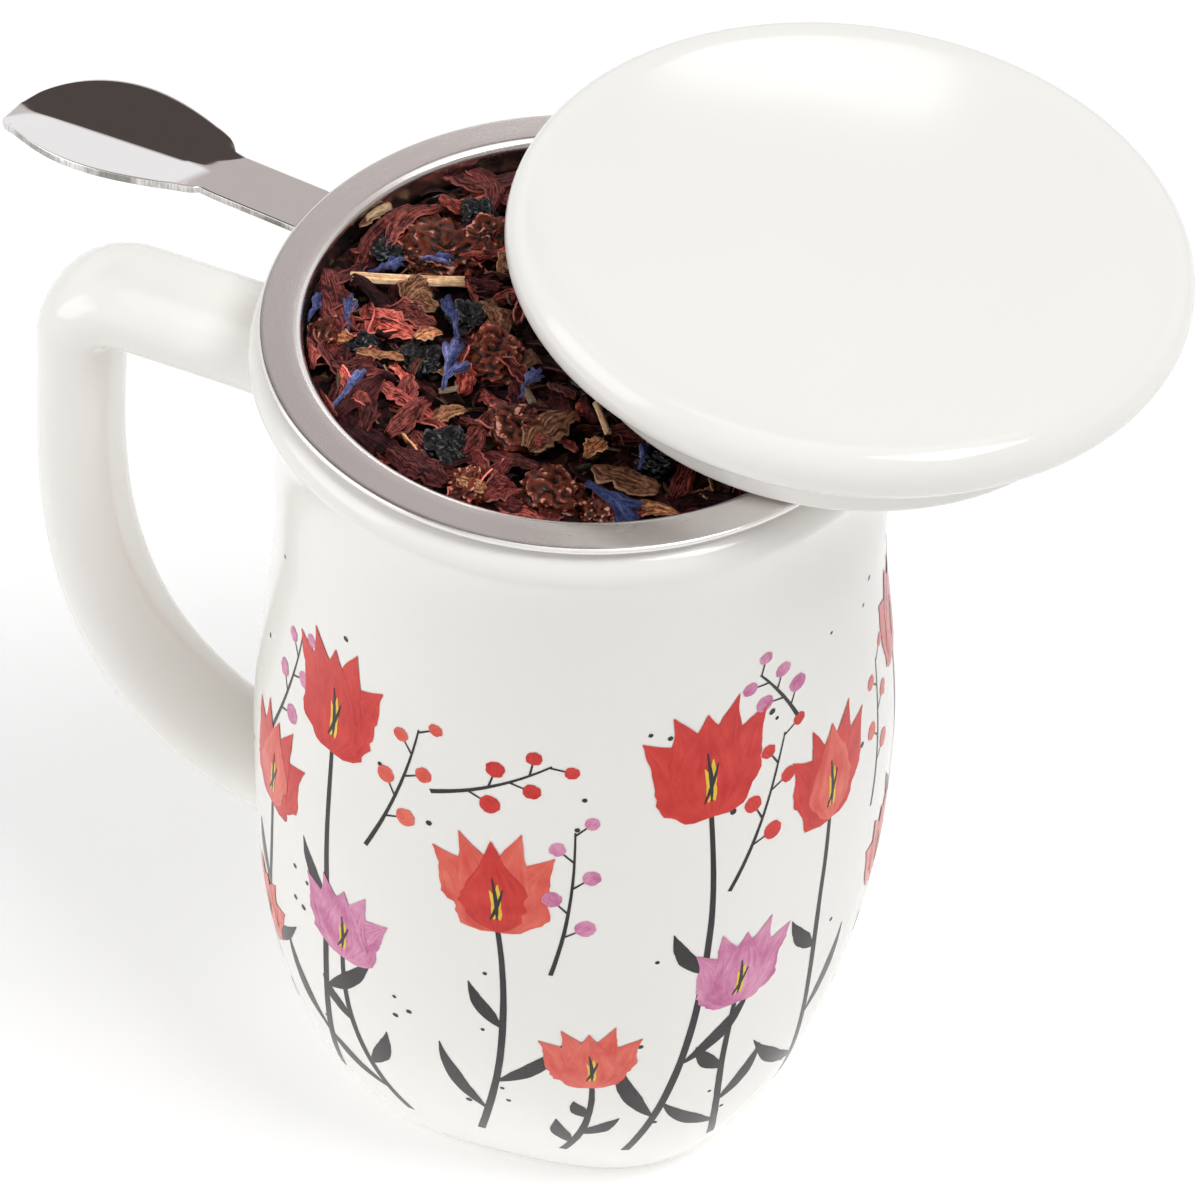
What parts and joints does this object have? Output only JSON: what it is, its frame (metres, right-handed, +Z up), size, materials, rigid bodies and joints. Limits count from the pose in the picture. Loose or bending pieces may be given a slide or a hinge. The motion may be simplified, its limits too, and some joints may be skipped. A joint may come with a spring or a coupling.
{
  "type": "lidded tea mug with infuser",
  "caption": "Glazed ceramic tea mug with a soft-square foot, loop handle, loose domed lid and a lift-out steel infuser full of loose tea.",
  "frame": {"origin": "middle of the mug's flat foot, on the table", "axes": "+Z up; the mug's handle points to -X; the flats of the soft-square foot face +X, -X, +Y and -Y"},
  "size_m": [0.1588, 0.0954, 0.1514],
  "materials": {
    "glaze": "clear gloss glaze over cream-white porcelain",
    "satin_steel": "satin stainless steel",
    "polished_steel": "polished stainless steel",
    "tea_leaf": "dry, finely cut tea",
    "hibiscus": "dry, papery, dark red petal",
    "rosehip": "wrinkled, slightly glossy dried fruit",
    "berry": "wrinkled black dried berry",
    "cornflower": "dry blue petal",
    "fruit": "dried fruit chip",
    "stem": "dry pale stem"
  },
  "bodies": {
    "mug": {"mug_body": "glaze", "mug_handle": "glaze"},
    "infuser": {"infuser_flange": "satin_steel", "infuser_wall": "satin_steel", "infuser_floor": "satin_steel", "leaf_handle": "polished_steel", "tea_bed": "tea_leaf", "hibiscus_petals": "hibiscus", "rosehip_shells": "rosehip", "dark_berries": "berry", "cornflower_petals": "cornflower", "fruit_chips": "fruit", "pale_stems": "stem"},
    "lid": {"lid": "glaze"}
  },
  "joints": [
    {"name": "infuser_lift", "type": "slide", "parent": "mug", "child": "infuser", "axis": [0, 0, 1], "range_m": [0, 0.115]},
    {"name": "lid_lift", "type": "slide", "parent": "infuser", "child": "lid", "axis": [0, 0, 1], "range_m": [0, 0.06]}
  ]
}
